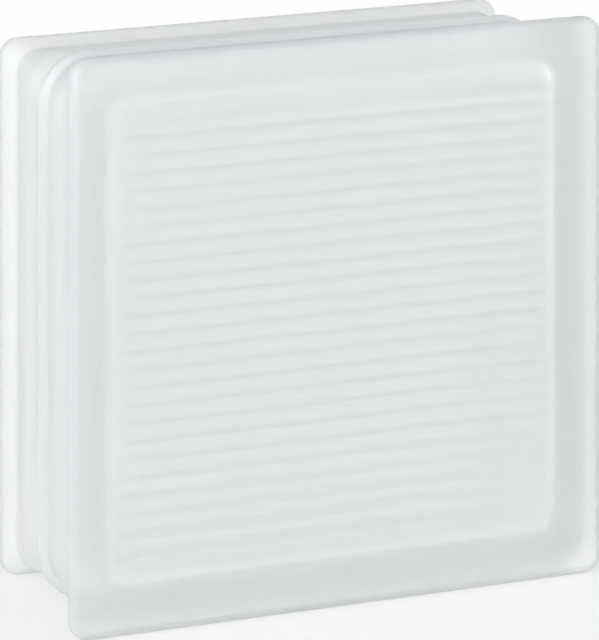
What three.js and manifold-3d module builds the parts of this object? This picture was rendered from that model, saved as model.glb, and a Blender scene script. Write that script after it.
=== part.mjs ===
import * as THREE from 'three';
import { mergeVertices } from 'three/addons/utils/BufferGeometryUtils.js';
import Module from 'manifold-3d';

// Hollow glass block with satin faces, for mortared or bonded walls. Millimetres, +Z up.
// Two pressed shells are fused rim to rim at mid-depth, and horizontal reeds run across both inner faces.
// The block stands on its lower rims, its origin on the floor under its middle, and its front looks to -Y.

const wasm = await Module();
wasm.setup();

// The whole block.
const blockWidth = 190;
const blockHeight = 190;
const blockDepth = 80;
const seamGap = 0.3; // clearance left between the two shells

// The rim round each face.
const rimCornerRadius = 6;
const arrisRadius = 3; // rounding from the face to the rim's edge
const rimLand = 2; // flat edge that the block stands on

// The mortar channel between the two rims.
const channelDepth = 3.6;
const shoulderLength = 7; // from the rim's land down to the channel's floor
const shoulderCornerRadius = 8; // where the shoulder meets the channel's floor

// The bead along the seam.
const beadHeight = 1.8;
const beadCornerRadius = 16; // the channel's floor opens out to it
const beadFlank = 4; // from the channel's floor up to the bead's top
const beadLip = 0.7; // rounding of each shell's lip beside the seam

// The glass of a shell.
const faceThickness = 7; // at a valley between two reeds
const seamWall = 8.5; // from the channel's floor to the inner wall, at the seam
const wallDraft = THREE.MathUtils.degToRad(3.5);
const hollowCornerRadius = 9;
const innerFillet = 7; // from the inner wall to the inner face

// The reeds on the inner face.
const reedPitch = 5.86;
const reedHeight = 1.2;

// Fineness of the curves.
const cornerSteps = 5; // halves of a corner's quarter turn
const arrisSteps = 4;
const shoulderSteps = 7;
const flankSteps = 5;
const lipSteps = 2;
const filletSteps = 5;
const reedSteps = 3; // halves of a reed's arc

const satinGlass = { color: 0xdfe5e4, roughness: 0.55, metalness: 0 };

// A shell is drawn face up: z = 0 is the block's middle plane and z = shellHeight its face.
const shellHeight = blockDepth / 2;
const ceiling = shellHeight - faceThickness; // the inner face, at a valley between two reeds
const overcut = 1; // how far a cutting solid runs past what it cuts

// A rounding stays inside the corner that it runs round.
const mostOfCorner = 0.9;
const arris = Math.min(arrisRadius, mostOfCorner * rimCornerRadius);
const fillet = Math.min(innerFillet, mostOfCorner * hollowCornerRadius);

function spread(steps, at) {
  return Array.from({ length: steps + 1 }, (unused, i) => at(i / steps));
}

// Slow at both ends, for a flank that leaves one level and settles on another.
function ease(t) {
  return (1 - Math.cos(Math.PI * t)) / 2;
}

// A quarter round at t from 0 to 1: how far it has risen, and how far it has drawn in.
function quarterRound(radius, t) {
  const turn = (t * Math.PI) / 2;
  return { rise: radius * Math.sin(turn), draw: radius * (1 - Math.cos(turn)) };
}

function roundedRectangle(width, height, radius) {
  const x = width / 2 - radius;
  const y = height / 2 - radius;
  const shape = new THREE.Shape();
  shape.absarc(x, y, radius, 0, Math.PI / 2);
  shape.absarc(-x, y, radius, Math.PI / 2, Math.PI);
  shape.absarc(-x, -y, radius, Math.PI, 1.5 * Math.PI);
  shape.absarc(x, -y, radius, 1.5 * Math.PI, 2 * Math.PI);
  return shape;
}

// A closed solid through stations { z, inset, radius }: rounded rectangles inset from the block's outline.
function loft(stations) {
  const rings = stations.map(({ inset, radius }) =>
    roundedRectangle(blockWidth - 2 * inset, blockHeight - 2 * inset, radius).getPoints(cornerSteps),
  );
  const around = rings[0].length;
  const positions = stations.flatMap(({ z }, i) => rings[i].flatMap((point) => [point.x, point.y, z]));
  const triangles = [];
  for (let i = 0; i + 1 < rings.length; i += 1) {
    for (let j = 0; j < around; j += 1) {
      const low = i * around + j;
      const lowNext = i * around + ((j + 1) % around);
      triangles.push(low, lowNext, lowNext + around, low, lowNext + around, low + around);
    }
  }
  const lid = THREE.ShapeUtils.triangulateShape(rings[0], []);
  const top = (rings.length - 1) * around;
  lid.forEach(([a, b, c]) => {
    triangles.push(c, b, a);
    triangles.push(top + a, top + b, top + c);
  });
  const geometry = new THREE.BufferGeometry();
  geometry.setAttribute('position', new THREE.Float32BufferAttribute(positions, 3));
  geometry.setIndex(triangles);
  return geometry;
}

// The outside of a shell, from its lip at the seam up to its face.
function shellStations() {
  const beadInset = channelDepth - beadHeight;
  const lipTop = seamGap / 2 + beadLip;
  const rimEdge = shellHeight - arris;
  const shoulderFoot = rimEdge - rimLand - shoulderLength;
  const lipStations = spread(lipSteps, (t) => {
    const { rise, draw } = quarterRound(beadLip, 1 - t);
    return { z: lipTop - rise, inset: beadInset + draw, radius: beadCornerRadius };
  });
  const flankStations = spread(flankSteps, (t) => ({
    z: lipTop + beadFlank * t,
    inset: beadInset + beadHeight * ease(t),
    radius: beadCornerRadius,
  }));
  const shoulderStations = spread(shoulderSteps, (t) => ({
    z: shoulderFoot + shoulderLength * t,
    inset: channelDepth * (1 - ease(t)),
    radius: THREE.MathUtils.lerp(shoulderCornerRadius, rimCornerRadius, ease(t)),
  }));
  const arrisStations = spread(arrisSteps, (t) => {
    const { rise, draw } = quarterRound(arris, t);
    return { z: rimEdge + rise, inset: draw, radius: rimCornerRadius - draw };
  });
  return [...lipStations, ...flankStations.slice(1), ...shoulderStations, ...arrisStations];
}

function innerInset(z) {
  return channelDepth + seamWall + z * Math.tan(wallDraft);
}

// The hollow that the plunger leaves, from below the seam up to the inner face.
function hollowStations() {
  const filletBase = ceiling - fillet;
  const mouth = { z: -overcut, inset: innerInset(-overcut), radius: hollowCornerRadius };
  const baseInset = innerInset(filletBase);
  const filletStations = spread(filletSteps, (t) => {
    const { rise, draw } = quarterRound(fillet, t);
    return { z: filletBase + rise, inset: baseInset + draw, radius: hollowCornerRadius - draw };
  });
  return [mouth, ...filletStations];
}

// Everything under the reeds: a bar along X whose top is a row of arcs that dip into the hollow.
function underReeds() {
  const flat = blockHeight - 2 * (innerInset(ceiling - fillet) + fillet);
  const reedCount = Math.floor(flat / reedPitch);
  const fieldHalf = (reedCount * reedPitch) / 2;
  const reedRadius = ((reedPitch / 2) ** 2 + reedHeight ** 2) / (2 * reedHeight);
  const halfAngle = Math.asin(reedPitch / 2 / reedRadius);
  const straightDown = -Math.PI / 2;
  const outline = new THREE.Shape();
  outline.moveTo(-blockHeight / 2, -2 * overcut);
  outline.lineTo(blockHeight / 2, -2 * overcut);
  outline.lineTo(blockHeight / 2, ceiling);
  for (let i = 0; i < reedCount; i += 1) {
    const x = fieldHalf - (i + 0.5) * reedPitch;
    const y = ceiling - reedHeight + reedRadius;
    outline.absarc(x, y, reedRadius, straightDown + halfAngle, straightDown - halfAngle, true);
  }
  outline.lineTo(-blockHeight / 2, ceiling);
  const along = { depth: blockWidth, curveSegments: reedSteps, bevelEnabled: false };
  const bar = new THREE.ExtrudeGeometry(outline, along);
  bar.translate(0, 0, -blockWidth / 2);
  // The outline's own x and y become the block's height and depth, and the bar's length runs along X.
  bar.applyMatrix4(new THREE.Matrix4().makeBasis(
    new THREE.Vector3(0, 1, 0),
    new THREE.Vector3(0, 0, 1),
    new THREE.Vector3(1, 0, 0),
  ));
  return bar;
}

function solidFrom(geometry) {
  geometry.deleteAttribute('normal');
  geometry.deleteAttribute('uv');
  const merged = mergeVertices(geometry);
  return new wasm.Manifold(new wasm.Mesh({
    numProp: 3,
    vertProperties: merged.getAttribute('position').array,
    triVerts: Uint32Array.from(merged.getIndex().array),
  }));
}

function geometryFrom(solid) {
  const { vertProperties, triVerts } = solid.getMesh();
  const geometry = new THREE.BufferGeometry();
  geometry.setAttribute('position', new THREE.BufferAttribute(vertProperties, 3));
  geometry.setIndex(new THREE.BufferAttribute(triVerts, 1));
  geometry.computeVertexNormals();
  return geometry;
}

function makeShell(name) {
  const hollow = solidFrom(loft(hollowStations())).intersect(solidFrom(underReeds()));
  const shell = solidFrom(loft(shellStations())).subtract(hollow);
  const mesh = new THREE.Mesh(geometryFrom(shell), new THREE.MeshStandardMaterial(satinGlass));
  mesh.name = name;
  mesh.rotation.x = Math.PI / 2; // stands the shell up, its face towards -Y
  return mesh;
}

const front = new THREE.Group();
front.add(makeShell('front_shell'));

const rear = new THREE.Group();
rear.rotation.z = Math.PI;
rear.add(makeShell('rear_shell'));

const block = new THREE.Group();
block.position.z = blockHeight / 2;
block.add(front, rear);

export default block;
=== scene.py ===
import math

import bmesh
import bpy
from mathutils import Matrix, Vector


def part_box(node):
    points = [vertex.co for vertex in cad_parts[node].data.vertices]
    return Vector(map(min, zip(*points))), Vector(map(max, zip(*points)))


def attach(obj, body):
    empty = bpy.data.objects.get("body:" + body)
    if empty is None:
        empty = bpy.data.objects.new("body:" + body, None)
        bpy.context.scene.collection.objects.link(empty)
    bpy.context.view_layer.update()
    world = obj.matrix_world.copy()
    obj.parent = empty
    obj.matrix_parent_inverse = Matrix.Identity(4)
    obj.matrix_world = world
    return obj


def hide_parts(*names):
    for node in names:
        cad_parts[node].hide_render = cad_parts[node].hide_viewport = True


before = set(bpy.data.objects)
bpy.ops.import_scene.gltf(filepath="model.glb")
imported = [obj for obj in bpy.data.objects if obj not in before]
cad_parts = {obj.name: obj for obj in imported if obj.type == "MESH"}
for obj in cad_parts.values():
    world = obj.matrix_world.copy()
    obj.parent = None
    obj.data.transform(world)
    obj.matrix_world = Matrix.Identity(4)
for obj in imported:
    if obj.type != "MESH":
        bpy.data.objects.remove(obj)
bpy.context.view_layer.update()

scene = bpy.context.scene
millimetre = 0.001
frontLow, frontHigh = [Vector(corner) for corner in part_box("front_shell")]
blockWidth = frontHigh.x - frontLow.x
blockHeight = frontHigh.z - frontLow.z
shellDepth = -frontLow.y  # from the block's middle plane to its face
blockMiddle = Vector((0, 0, frontLow.z + blockHeight / 2))


# Small helpers for node trees.

def addNode(tree, kind, **settings):
    node = tree.nodes.new(kind)
    for name, value in settings.items():
        setattr(node, name, value)
    return node


def feed(tree, socket, value):
    if isinstance(value, bpy.types.NodeSocket):
        tree.links.new(value, socket)
    else:
        socket.default_value = value


def calculate(tree, operation, *values):
    node = addNode(tree, "ShaderNodeMath", operation=operation)
    for socket, value in zip(node.inputs, values):
        feed(tree, socket, value)
    return node.outputs[0]


# Materials.

satinGlassLook = {
    "palest": (0.985, 1.0, 0.97),
    "deepest": (0.955, 0.975, 0.94),
    "clearness": 0.55,  # share of the light that passes the etched skin instead of scattering on it
    "smoothest": 0.50,
    "roughest": 0.56,
    "streaksPerMetre": 420,
    "streakStretch": 16,  # how much longer than tall a streak of the etching is
    "cloudsPerMetre": 38,
    "grainPerMetre": 1500,
    "grainDepth": 0.02 * millimetre,
}

edgeGlassLook = {
    "palest": (0.99, 1.0, 0.99),
    "deepest": (0.96, 0.975, 0.965),
    "clearness": 0.58,
    "smoothest": 0.45,
    "roughest": 0.50,
    "streaksPerMetre": 160,
    "streakStretch": 1,
    "cloudsPerMetre": 38,
    "grainPerMetre": 1500,
    "grainDepth": 0.02 * millimetre,
}

clearGlassLook = {
    "palest": (0.89, 0.92, 0.98),
    "deepest": (0.87, 0.90, 0.965),
    "smoothest": 0.04,
    "roughest": 0.09,
    "ripplesPerMetre": 55,
    "rippleDepth": 0.25 * millimetre,
}

glassIor = 1.5
noiseLow, noiseHigh = 0.3, 0.7  # a noise hardly leaves this range, so a look is spread over it


def newMaterial(name):
    material = bpy.data.materials.new(name)
    material.use_nodes = True
    return material, material.node_tree, material.node_tree.nodes["Principled BSDF"]


# A noise in the piece's own coordinates, drawn out along X by the stretch.
def noiseOver(tree, perMetre, detail, stretch=1):
    place = addNode(tree, "ShaderNodeTexCoord").outputs["Object"]
    squeezed = addNode(tree, "ShaderNodeVectorMath", operation="MULTIPLY")
    squeezed.inputs[1].default_value = (1 / stretch, 1, 1)
    noise = addNode(tree, "ShaderNodeTexNoise")
    noise.inputs["Scale"].default_value = perMetre
    noise.inputs["Detail"].default_value = detail
    tree.links.new(place, squeezed.inputs[0])
    tree.links.new(squeezed.outputs[0], noise.inputs["Vector"])
    return noise.outputs["Fac"]


def spreadRoughness(tree, shader, noise, look):
    spread = addNode(tree, "ShaderNodeMapRange")
    spread.inputs["From Min"].default_value = noiseLow
    spread.inputs["From Max"].default_value = noiseHigh
    spread.inputs["To Min"].default_value = look["smoothest"]
    spread.inputs["To Max"].default_value = look["roughest"]
    tree.links.new(noise, spread.inputs["Value"])
    tree.links.new(spread.outputs["Result"], shader.inputs["Roughness"])


def spreadColour(tree, shader, noise, look):
    ramp = addNode(tree, "ShaderNodeValToRGB")
    ends = ((noiseLow, look["palest"]), (noiseHigh, look["deepest"]))
    for stop, (position, colour) in zip(ramp.color_ramp.elements, ends):
        stop.position = position
        stop.color = (*colour, 1)
    tree.links.new(noise, ramp.inputs["Fac"])
    tree.links.new(ramp.outputs["Color"], shader.inputs["Base Color"])


def addRelief(tree, shader, height, depth):
    bump = addNode(tree, "ShaderNodeBump")
    bump.inputs["Distance"].default_value = depth
    tree.links.new(height, bump.inputs["Height"])
    tree.links.new(bump.outputs["Normal"], shader.inputs["Normal"])


def makeSatinGlass(name, look):
    material, tree, shader = newMaterial(name)
    shader.inputs["IOR"].default_value = glassIor
    shader.inputs["Transmission Weight"].default_value = look["clearness"]
    spreadColour(tree, shader, noiseOver(tree, look["streaksPerMetre"], 3, look["streakStretch"]), look)
    spreadRoughness(tree, shader, noiseOver(tree, look["cloudsPerMetre"], 3), look)
    addRelief(tree, shader, noiseOver(tree, look["grainPerMetre"], 2), look["grainDepth"])
    return material


def makeClearGlass(look):
    material, tree, shader = newMaterial("clearGlass")
    shader.inputs["IOR"].default_value = glassIor
    shader.inputs["Transmission Weight"].default_value = 1
    ripples = noiseOver(tree, look["ripplesPerMetre"], 1)
    spreadColour(tree, shader, ripples, look)
    spreadRoughness(tree, shader, ripples, look)
    addRelief(tree, shader, ripples, look["rippleDepth"])
    return material


satinGlass = makeSatinGlass("satinGlass", satinGlassLook)
edgeGlass = makeSatinGlass("edgeGlass", edgeGlassLook)
clearGlass = makeClearGlass(clearGlassLook)
print("glass mixed")


# The pressed shell: a section line lofted round the block, with reeds pressed into its inner face.

shellSizes = {
    "rimCornerRadius": 6 * millimetre,
    "arrisRadius": 3 * millimetre,
    "rimLand": 2 * millimetre,
    "channelDepth": 3.6 * millimetre,
    "shoulderLength": 7 * millimetre,
    "shoulderCornerRadius": 8 * millimetre,
    "beadHeight": 1.8 * millimetre,
    "beadCornerRadius": 16 * millimetre,
    "beadFlank": 4 * millimetre,
    "beadLip": 0.7 * millimetre,
    "seamGap": 0.04 * millimetre,  # hairline left where the two shells are fused
    "faceThickness": 7 * millimetre,
    "seamWall": 8.5 * millimetre,
    "wallDraft": math.radians(3.5),
    "innerFillet": 7 * millimetre,
    "reedPitch": 5.86 * millimetre,
    "reedHeight": 1.2 * millimetre,
    "reedCount": 25,
    "valleyRounding": 0.3 * millimetre,
}

shellFineness = {
    "arris": 8,
    "shoulder": 14,
    "floor": 10,
    "flank": 8,
    "lip": 5,
    "wall": 3,
    "fillet": 12,
    "corner": 12,
    "reed": 6,
}

edgeSupport = 0.6 * millimetre  # narrow flat strip that keeps the shading of a flat face even
weldDistance = 0.002 * millimetre
sharpAngle = math.radians(40)  # a fold that is sharper than this keeps a hard edge

# The zones of a shell's skin: 0 is the flat face.
edgeZone = 1  # from the arris round to the seam
hollowZone = 2
nearlyWhole = 0.1  # a face is in a zone when all its corners are, within this much


def spreadOver(steps, place):
    return [place(i / steps) for i in range(steps + 1)]


def ease(t):
    return (1 - math.cos(math.pi * t)) / 2


def mix(a, b, t):
    return a + (b - a) * t


def quarterRound(radius, t):
    turn = t * math.pi / 2
    return radius * math.sin(turn), radius * (1 - math.cos(turn))  # how far it has risen and drawn in


# Stations are (inset from the block's outline, corner radius, depth from the middle plane).
def flatFace(sizes):
    middle = (blockWidth / 2, 0, shellDepth)
    inset = sizes["arrisRadius"] + edgeSupport
    return [middle, (inset, sizes["rimCornerRadius"] - inset, shellDepth)]


def arris(sizes):
    rimEdge = shellDepth - sizes["arrisRadius"]

    def arrisStation(t):
        rise, draw = quarterRound(sizes["arrisRadius"], 1 - t)
        return (draw, sizes["rimCornerRadius"] - draw, rimEdge + rise)

    return spreadOver(shellFineness["arris"], arrisStation)


def shoulderAndBead(sizes):
    rimRadius, shoulderRadius = sizes["rimCornerRadius"], sizes["shoulderCornerRadius"]
    beadRadius = sizes["beadCornerRadius"]
    shoulderTop = shellDepth - sizes["arrisRadius"] - sizes["rimLand"]
    lipTop = sizes["seamGap"] / 2 + sizes["beadLip"]
    beadInset = sizes["channelDepth"] - sizes["beadHeight"]

    def shoulderStation(t):
        radius = mix(rimRadius, shoulderRadius, ease(t))
        return (sizes["channelDepth"] * ease(t), radius, shoulderTop - sizes["shoulderLength"] * t)

    def flankStation(t):
        inset = mix(sizes["channelDepth"], beadInset, ease(t))
        return (inset, beadRadius, lipTop + sizes["beadFlank"] * (1 - t))

    def lipStation(t):
        rise, draw = quarterRound(sizes["beadLip"], t)
        return (beadInset + draw, beadRadius, lipTop - rise)

    shoulder = spreadOver(shellFineness["shoulder"], shoulderStation)
    floorLength = shoulderTop - sizes["shoulderLength"] - lipTop - sizes["beadFlank"]

    def floorStation(t):
        radius = mix(shoulderRadius, beadRadius, t)
        return (sizes["channelDepth"], radius, shoulderTop - sizes["shoulderLength"] - floorLength * t)

    floor = spreadOver(shellFineness["floor"], floorStation)
    flank = spreadOver(shellFineness["flank"], flankStation)
    lip = spreadOver(shellFineness["lip"], lipStation)
    return shoulder + floor[1:-1] + flank + lip[1:]


# The inside turns round the corners of the reeded field, so its skin meets the field point by point.
def hollow(sizes):
    fieldHalf = sizes["reedCount"] * sizes["reedPitch"] / 2
    ceiling = shellDepth - sizes["faceThickness"]
    filletBase = ceiling - sizes["innerFillet"]
    seam = sizes["seamGap"] / 2

    def station(inset, depth):
        return (inset, blockWidth / 2 - fieldHalf - inset, depth)

    def wallInset(depth):
        return sizes["channelDepth"] + sizes["seamWall"] + depth * math.tan(sizes["wallDraft"])

    def wallStation(t):
        depth = mix(seam, filletBase, t)
        return station(wallInset(depth), depth)

    def filletStation(t):
        rise, draw = quarterRound(sizes["innerFillet"], t)
        return station(wallInset(filletBase) + draw, filletBase + rise)

    wall = spreadOver(shellFineness["wall"], wallStation)
    fillet = spreadOver(shellFineness["fillet"], filletStation)
    return wall + fillet[1:] + [station(blockWidth / 2 - fieldHalf, ceiling)]


def makeSectionLine(stations):
    mesh = bpy.data.meshes.new("sectionLine")
    mesh.from_pydata(stations, [(i, i + 1) for i in range(len(stations) - 1)], [])
    line = bpy.data.objects.new("sectionLine", mesh)
    scene.collection.objects.link(line)
    return line


loftInputs = {
    "Width": "Float",
    "Height": "Float",
    "Side Steps": "Int",
    "Corner Steps": "Int",
    "First Edge Station": "Int",
    "First Hollow Station": "Int",
    "Ceiling": "Float",
    "Reed Pitch": "Float",
    "Reed Height": "Float",
    "Reed Count": "Int",
    "Valley Rounding": "Float",
    "Face Glass": "Material",
    "Edge Glass": "Material",
    "Inner Glass": "Material",
}


def startTree(name, inputs):
    tree = bpy.data.node_groups.new(name, "GeometryNodeTree")
    tree.interface.new_socket("Geometry", in_out="INPUT", socket_type="NodeSocketGeometry")
    for label, kind in inputs.items():
        tree.interface.new_socket(label, in_out="INPUT", socket_type="NodeSocket" + kind)
    tree.interface.new_socket("Geometry", in_out="OUTPUT", socket_type="NodeSocketGeometry")
    return tree, addNode(tree, "NodeGroupInput").outputs, addNode(tree, "NodeGroupOutput").inputs


# Every station becomes a rounded rectangle, and neighbouring ones are joined by a skin.
def loftSkin(tree, given):
    quarter = calculate(tree, "ADD", given["Side Steps"], given["Corner Steps"])
    around = calculate(tree, "MULTIPLY_ADD", quarter, 4, 1)
    count = addNode(tree, "GeometryNodeAttributeDomainSize", component="MESH")
    tree.links.new(given["Geometry"], count.inputs["Geometry"])
    grid = addNode(tree, "GeometryNodeMeshGrid")
    tree.links.new(count.outputs["Point Count"], grid.inputs["Vertices X"])
    tree.links.new(around, grid.inputs["Vertices Y"])
    index = addNode(tree, "GeometryNodeInputIndex").outputs[0]

    def wholeAndRest(value, size):
        safe = calculate(tree, "ADD", value, 0.5)  # keeps rounding from losing a whole one
        whole = calculate(tree, "FLOOR", calculate(tree, "DIVIDE", safe, size))
        return whole, calculate(tree, "SUBTRACT", value, calculate(tree, "MULTIPLY", whole, size))

    stationIndex, step = wholeAndRest(index, around)
    side, sideStep = wholeAndRest(step, quarter)
    station = addNode(tree, "GeometryNodeSampleIndex", data_type="FLOAT_VECTOR", clamp=True)
    tree.links.new(given["Geometry"], station.inputs["Geometry"])
    tree.links.new(addNode(tree, "GeometryNodeInputPosition").outputs[0], station.inputs["Value"])
    tree.links.new(stationIndex, station.inputs["Index"])
    parts = addNode(tree, "ShaderNodeSeparateXYZ")
    tree.links.new(station.outputs["Value"], parts.inputs[0])
    inset, radius, depth = parts.outputs

    cornerSteps = calculate(tree, "MINIMUM", sideStep, given["Corner Steps"])
    cornerShare = calculate(tree, "DIVIDE", cornerSteps, given["Corner Steps"])
    straightSteps = calculate(tree, "SUBTRACT", sideStep, cornerSteps)
    straightShare = calculate(tree, "DIVIDE", straightSteps, given["Side Steps"])
    turn = calculate(tree, "MULTIPLY", calculate(tree, "ADD", side, cornerShare), math.pi / 2)
    cornerTurn = calculate(tree, "MULTIPLY_ADD", side, math.pi / 2, math.pi / 4)

    # Along one axis: from a corner's centre to the next one along the side, and out by the corner's turn.
    def across(size, wave):
        half = calculate(tree, "SUBTRACT", calculate(tree, "DIVIDE", size, 2), inset)
        core = calculate(tree, "MULTIPLY", calculate(tree, "SUBTRACT", half, radius), math.sqrt(2))
        here = calculate(tree, wave, cornerTurn)
        there = calculate(tree, wave, calculate(tree, "ADD", cornerTurn, math.pi / 2))
        way = calculate(tree, "MULTIPLY_ADD", calculate(tree, "SUBTRACT", there, here), straightShare, here)
        return calculate(tree, "MULTIPLY_ADD", calculate(tree, wave, turn), radius,
                         calculate(tree, "MULTIPLY", way, core))

    place = addNode(tree, "ShaderNodeCombineXYZ")
    tree.links.new(across(given["Width"], "COSINE"), place.inputs["X"])
    tree.links.new(calculate(tree, "MULTIPLY", depth, -1), place.inputs["Y"])
    tree.links.new(across(given["Height"], "SINE"), place.inputs["Z"])
    skin = addNode(tree, "GeometryNodeSetPosition")
    tree.links.new(grid.outputs["Mesh"], skin.inputs["Geometry"])
    tree.links.new(place.outputs[0], skin.inputs["Position"])
    here = calculate(tree, "ADD", stationIndex, 0.5)
    pastFace = calculate(tree, "GREATER_THAN", here, given["First Edge Station"])
    pastEdge = calculate(tree, "GREATER_THAN", here, given["First Hollow Station"])
    return markZone(tree, skin.outputs["Geometry"], calculate(tree, "ADD", pastFace, pastEdge))


# The flat middle of the inner face, as a fine grid that meets the last station point by point.
def innerField(tree, given):
    size = calculate(tree, "MULTIPLY", given["Reed Pitch"], given["Reed Count"])
    points = calculate(tree, "ADD", given["Side Steps"], 1)
    grid = addNode(tree, "GeometryNodeMeshGrid")
    for name in ("Size X", "Size Y"):
        tree.links.new(size, grid.inputs[name])
    for name in ("Vertices X", "Vertices Y"):
        tree.links.new(points, grid.inputs[name])
    stand = addNode(tree, "GeometryNodeTransform")
    stand.inputs["Rotation"].default_value = (math.pi / 2, 0, 0)
    tree.links.new(grid.outputs["Mesh"], stand.inputs["Geometry"])
    move = addNode(tree, "ShaderNodeCombineXYZ")
    tree.links.new(calculate(tree, "MULTIPLY", given["Ceiling"], -1), move.inputs["Y"])
    tree.links.new(move.outputs[0], stand.inputs["Translation"])
    return markZone(tree, stand.outputs["Geometry"], hollowZone)


def markZone(tree, geometry, value):
    mark = addNode(tree, "GeometryNodeStoreNamedAttribute", data_type="FLOAT", domain="POINT")
    mark.inputs["Name"].default_value = "zone"
    tree.links.new(geometry, mark.inputs["Geometry"])
    feed(tree, mark.inputs["Value"], value)
    return mark.outputs["Geometry"]


# In this zone, or in one after it.
def fromZone(tree, zone):
    mark = addNode(tree, "GeometryNodeInputNamedAttribute", data_type="FLOAT")
    mark.inputs["Name"].default_value = "zone"
    return calculate(tree, "GREATER_THAN", mark.outputs["Attribute"], zone - nearlyWhole)


# Reeds are shallow arcs side by side up the inner face, and they run on into the fillet at its two ends.
def pressReeds(tree, given, geometry):
    position = addNode(tree, "ShaderNodeSeparateXYZ")
    tree.links.new(addNode(tree, "GeometryNodeInputPosition").outputs[0], position.inputs[0])
    pitch, height = given["Reed Pitch"], given["Reed Height"]
    halfPitch = calculate(tree, "DIVIDE", pitch, 2)
    heightSquared = calculate(tree, "MULTIPLY", height, height)
    chord = calculate(tree, "MULTIPLY_ADD", halfPitch, halfPitch, heightSquared)
    arcRadius = calculate(tree, "DIVIDE", chord, calculate(tree, "MULTIPLY", height, 2))
    fieldHalf = calculate(tree, "MULTIPLY", halfPitch, given["Reed Count"])
    up = calculate(tree, "ADD", position.outputs["Z"], fieldHalf)
    withinReed = calculate(tree, "SUBTRACT", calculate(tree, "FLOORED_MODULO", up, pitch), halfPitch)
    radiusSquared = calculate(tree, "MULTIPLY", arcRadius, arcRadius)
    acrossSquared = calculate(tree, "MULTIPLY", withinReed, withinReed)
    arc = calculate(tree, "SQRT", calculate(tree, "SUBTRACT", radiusSquared, acrossSquared))
    bulge = calculate(tree, "SUBTRACT", arc, calculate(tree, "SUBTRACT", arcRadius, height))
    inField = calculate(tree, "LESS_THAN", calculate(tree, "ABSOLUTE", position.outputs["Z"]), fieldHalf)
    reedFace = calculate(tree, "SUBTRACT", given["Ceiling"], calculate(tree, "MULTIPLY", bulge, inField))
    depth = calculate(tree, "MULTIPLY", position.outputs["Y"], -1)
    pressed = calculate(tree, "SMOOTH_MIN", depth, reedFace, given["Valley Rounding"])
    place = addNode(tree, "ShaderNodeCombineXYZ")
    tree.links.new(position.outputs["X"], place.inputs["X"])
    tree.links.new(calculate(tree, "MULTIPLY", pressed, -1), place.inputs["Y"])
    tree.links.new(position.outputs["Z"], place.inputs["Z"])
    press = addNode(tree, "GeometryNodeSetPosition")
    tree.links.new(geometry, press.inputs["Geometry"])
    tree.links.new(fromZone(tree, hollowZone), press.inputs["Selection"])
    tree.links.new(place.outputs[0], press.inputs["Position"])
    return press.outputs["Geometry"]


def setGlass(tree, geometry, material, selection=None):
    node = addNode(tree, "GeometryNodeSetMaterial")
    tree.links.new(geometry, node.inputs["Geometry"])
    tree.links.new(material, node.inputs["Material"])
    if selection is not None:
        tree.links.new(selection, node.inputs["Selection"])
    return node.outputs["Geometry"]


def makeShellTree():
    tree, given, result = startTree("pressedShell", loftInputs)
    whole = addNode(tree, "GeometryNodeJoinGeometry")
    for part in (loftSkin(tree, given), innerField(tree, given)):
        tree.links.new(part, whole.inputs["Geometry"])
    weld = addNode(tree, "GeometryNodeMergeByDistance")
    weld.inputs["Distance"].default_value = weldDistance
    tree.links.new(whole.outputs["Geometry"], weld.inputs["Geometry"])
    shell = pressReeds(tree, given, weld.outputs["Geometry"])
    plain = addNode(tree, "GeometryNodeRealizeInstances")
    tree.links.new(shell, plain.inputs["Geometry"])
    glass = setGlass(tree, plain.outputs["Geometry"], given["Face Glass"])
    glass = setGlass(tree, glass, given["Edge Glass"], fromZone(tree, edgeZone))
    glass = setGlass(tree, glass, given["Inner Glass"], fromZone(tree, hollowZone))
    tree.links.new(glass, result["Geometry"])
    return tree


def setInputs(modifier, values):
    for item in modifier.node_group.interface.items_tree:
        if item.in_out == "INPUT" and item.name in values:
            modifier[item.identifier] = values[item.name]


def makePlain(thing, modifier):
    evaluated = thing.evaluated_get(bpy.context.evaluated_depsgraph_get())
    mesh = bpy.data.meshes.new_from_object(evaluated)
    thing.modifiers.remove(modifier)
    thing.data = mesh
    return mesh


def finishMesh(mesh, place):
    mesh.transform(place)
    body = bmesh.new()
    body.from_mesh(mesh)
    bmesh.ops.recalc_face_normals(body, faces=body.faces)
    body.to_mesh(mesh)
    body.free()
    mesh.shade_smooth()
    mesh.set_sharp_from_angle(angle=sharpAngle)


def makeShell(name, node, tree, place):
    sizes = shellSizes
    face = flatFace(sizes)
    outside = face + arris(sizes) + shoulderAndBead(sizes)
    shell = makeSectionLine(outside + hollow(sizes))
    shell.name = name
    modifier = shell.modifiers.new("press", "NODES")
    modifier.node_group = tree
    setInputs(modifier, {
        "Width": blockWidth,
        "Height": blockHeight,
        "Side Steps": sizes["reedCount"] * shellFineness["reed"],
        "Corner Steps": shellFineness["corner"],
        "First Edge Station": len(face),
        "First Hollow Station": len(outside) - 1,  # the lip's end, where the inner wall starts
        "Ceiling": shellDepth - sizes["faceThickness"],
        "Reed Pitch": sizes["reedPitch"],
        "Reed Height": sizes["reedHeight"],
        "Reed Count": sizes["reedCount"],
        "Valley Rounding": sizes["valleyRounding"],
        "Face Glass": satinGlass,
        "Edge Glass": edgeGlass,
        "Inner Glass": clearGlass,
    })
    finishMesh(makePlain(shell, modifier), place)
    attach(shell, "root")
    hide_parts(node)


shellTree = makeShellTree()
upright = Matrix.Translation(blockMiddle)
makeShell("frontShell", "front_shell", shellTree, upright)
makeShell("rearShell", "rear_shell", shellTree, upright @ Matrix.Rotation(math.pi, 4, "Z"))
print("two shells pressed")


# Floor and backdrop.

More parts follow.
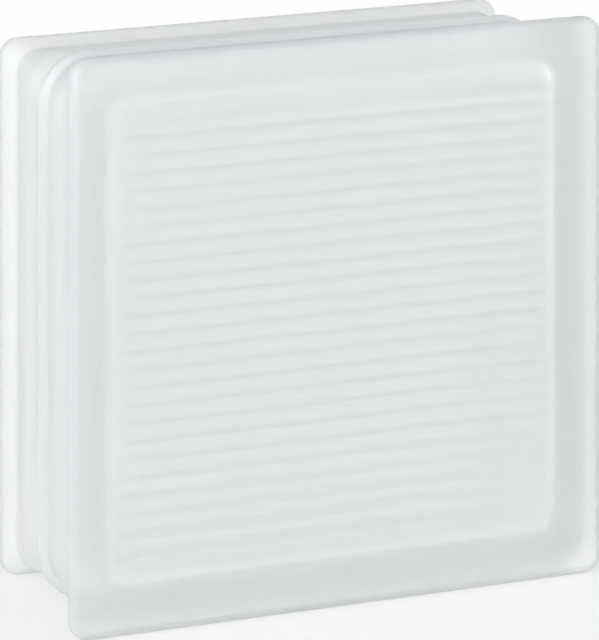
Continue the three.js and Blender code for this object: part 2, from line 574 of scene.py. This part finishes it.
stageLook = {
    "floorColour": (0.92, 0.92, 0.92),
    "floorSize": 6,
    "floorRoughness": 0.9,
    "floorDrop": 0.1 * millimetre,  # keeps the floor clear of the rims that stand on it
    "shadeStart": 0.1,  # round the block the floor keeps its own shading, and further out it turns white
    "shadeEnd": 0.4,
    "white": {"near": 0.55, "far": 1.0},  # share of plain white in what a view sees of the floor
    "whiteInGlass": {"near": 1.0, "inFront": 1.0, "behind": 0.7},
}

# Levels of the backdrop by direction, where 1 is white.
backdropInGlass = {"behind": 0.95, "inFront": 0.0, "left": 1.1, "right": 1.1, "above": 1.0}
backdropLight = {"behind": 0.1, "inFront": 0.2, "left": 0.9, "right": 0.2, "above": 0.45}
backdropTint = (0.97, 0.985, 1.0)


# What looks at it: a view, or a reflection or the glass.
def lookers(tree):
    path = addNode(tree, "ShaderNodeLightPath").outputs
    glass = calculate(tree, "MAXIMUM", path["Is Glossy Ray"], path["Is Transmission Ray"])
    return path["Is Camera Ray"], glass


def fadeBetween(tree, value, start, end):
    fade = addNode(tree, "ShaderNodeMapRange", interpolation_type="SMOOTHSTEP")
    for socket, level in (("Value", value), ("From Min", start), ("From Max", end)):
        feed(tree, fade.inputs[socket], level)
    return fade.outputs["Result"]


def blendLevels(tree, low, high, share):
    return calculate(tree, "MULTIPLY_ADD", share, calculate(tree, "SUBTRACT", high, low), low)


def makeFloor(look):
    bpy.ops.mesh.primitive_plane_add(size=look["floorSize"], location=(0, 0, -look["floorDrop"]))
    floor = bpy.context.object
    floor.name = "floor"
    material, tree, paint = newMaterial("paleFloor")
    paint.inputs["Base Color"].default_value = (*look["floorColour"], 1)
    paint.inputs["Roughness"].default_value = look["floorRoughness"]
    paint.inputs["Specular IOR Level"].default_value = 0
    white = addNode(tree, "ShaderNodeEmission")
    blend = addNode(tree, "ShaderNodeMixShader")
    place = addNode(tree, "ShaderNodeTexCoord").outputs["Object"]
    distance = addNode(tree, "ShaderNodeVectorMath", operation="LENGTH")
    tree.links.new(place, distance.inputs[0])
    parts = addNode(tree, "ShaderNodeSeparateXYZ")
    tree.links.new(place, parts.inputs[0])
    far = fadeBetween(tree, distance.outputs["Value"], look["shadeStart"], look["shadeEnd"])
    behind = fadeBetween(tree, parts.outputs["Y"], -look["shadeStart"], look["shadeStart"])
    inGlass = look["whiteInGlass"]
    farInGlass = blendLevels(tree, inGlass["inFront"], inGlass["behind"], behind)
    view, glass = lookers(tree)
    seenWhite = blendLevels(tree, look["white"]["near"], look["white"]["far"], far)
    glassWhite = blendLevels(tree, inGlass["near"], farInGlass, far)
    share = calculate(tree, "MULTIPLY_ADD", glass, glassWhite, calculate(tree, "MULTIPLY", view, seenWhite))
    tree.links.new(share, blend.inputs["Fac"])
    tree.links.new(paint.outputs[0], blend.inputs[1])
    tree.links.new(white.outputs[0], blend.inputs[2])
    tree.links.new(blend.outputs[0], tree.nodes["Material Output"].inputs["Surface"])
    floor.data.materials.append(material)


directions = {
    "behind": ("Y", 1),
    "inFront": ("Y", -1),
    "left": ("X", -1),
    "right": ("X", 1),
    "above": ("Z", 1),
}


# A level that goes softly from one direction to the next, as the squares of a direction's parts do.
def levelByDirection(tree, levels):
    place = addNode(tree, "ShaderNodeTexCoord")
    parts = addNode(tree, "ShaderNodeSeparateXYZ")
    tree.links.new(place.outputs["Generated"], parts.inputs[0])
    total = 0
    for name, (part, sign) in directions.items():
        there = calculate(tree, "MAXIMUM", calculate(tree, "MULTIPLY", parts.outputs[part], sign), 0)
        share = calculate(tree, "MULTIPLY", there, there)
        total = calculate(tree, "MULTIPLY_ADD", share, levels[name], total)
    return total


def makeWorld():
    world = bpy.data.worlds.new("studio")
    scene.world = world
    world.use_nodes = True
    tree = world.node_tree
    background = tree.nodes["Background"]
    view, glass = lookers(tree)
    tint = addNode(tree, "ShaderNodeMix", data_type="RGBA")
    tree.links.new(view, tint.inputs["Factor"])
    colours = [socket for socket in tint.inputs if socket.type == "RGBA"]
    colours[0].default_value = (*backdropTint, 1)
    colours[1].default_value = (1, 1, 1, 1)
    tree.links.new(tint.outputs["Result"], background.inputs["Color"])
    rest = calculate(tree, "SUBTRACT", 1, calculate(tree, "ADD", view, glass))
    level = calculate(tree, "MULTIPLY_ADD", glass, levelByDirection(tree, backdropInGlass), view)
    level = calculate(tree, "MULTIPLY_ADD", rest, levelByDirection(tree, backdropLight), level)
    tree.links.new(level, background.inputs["Strength"])


makeFloor(stageLook)
makeWorld()


# Soft lamps, each aimed at the middle of the block.

lamps = {
    "leftSoftbox": {"place": (-1.2, -1.0, 0.7), "size": 1.6, "power": 18},
    "lowLeftSoftbox": {"place": (-1.6, -0.3, 0.1), "size": 1.0, "power": 8},
    "rightSoftbox": {"place": (1.1, -1.1, 0.7), "size": 1.6, "power": 10.5},
    "farRightSoftbox": {"place": (1.6, 0.0, 0.6), "size": 1.6, "power": 5},
}


def aimAt(place, target):
    return (target - Vector(place)).to_track_quat("-Z", "Y").to_euler()


for name, lamp in lamps.items():
    light = bpy.data.lights.new(name, "AREA")
    light.size = lamp["size"]
    light.energy = lamp["power"]
    holder = bpy.data.objects.new(name, light)
    holder.location = lamp["place"]
    holder.rotation_euler = aimAt(lamp["place"], blockMiddle)
    scene.collection.objects.link(holder)
print("stage lit")


# A view camera: its back stands nearly upright, while the lens looks down on the block from the left.

camera = {
    "lens": 152.33,
    "place": Vector((-0.37952, -0.83809, 0.29609)),
    "sightTurn": math.radians(24.477),  # where the camera stands, from straight ahead round to the left
    "sightDrop": math.radians(12.750),
    "backTurn": math.radians(12.403),
    "backTilt": math.radians(3.289),
}


def makeCamera(values):
    lens = bpy.data.cameras.new("viewCamera")
    lens.lens = values["lens"]
    holder = bpy.data.objects.new("viewCamera", lens)
    scene.collection.objects.link(holder)
    stand = bpy.data.objects.new("cameraStand", None)
    scene.collection.objects.link(stand)
    turn, tilt = values["backTurn"], values["backTilt"]
    right = Vector((math.cos(turn) * math.cos(tilt), -math.sin(turn) * math.cos(tilt), -math.sin(tilt)))
    up = Vector((0, 0, 1))
    turn, drop = values["sightTurn"], values["sightDrop"]
    back = Vector((-math.sin(turn) * math.cos(drop), -math.cos(turn) * math.cos(drop), math.sin(drop)))
    slant = Matrix((right, up, back)).transposed().to_4x4()
    slant.translation = values["place"]
    holder.parent = stand
    holder.matrix_parent_inverse = slant
    scene.camera = holder


makeCamera(camera)
scene.view_settings.view_transform = "Standard"
scene.cycles.max_bounces = 24
scene.cycles.transmission_bounces = 24
scene.cycles.glossy_bounces = 12
print("camera placed")
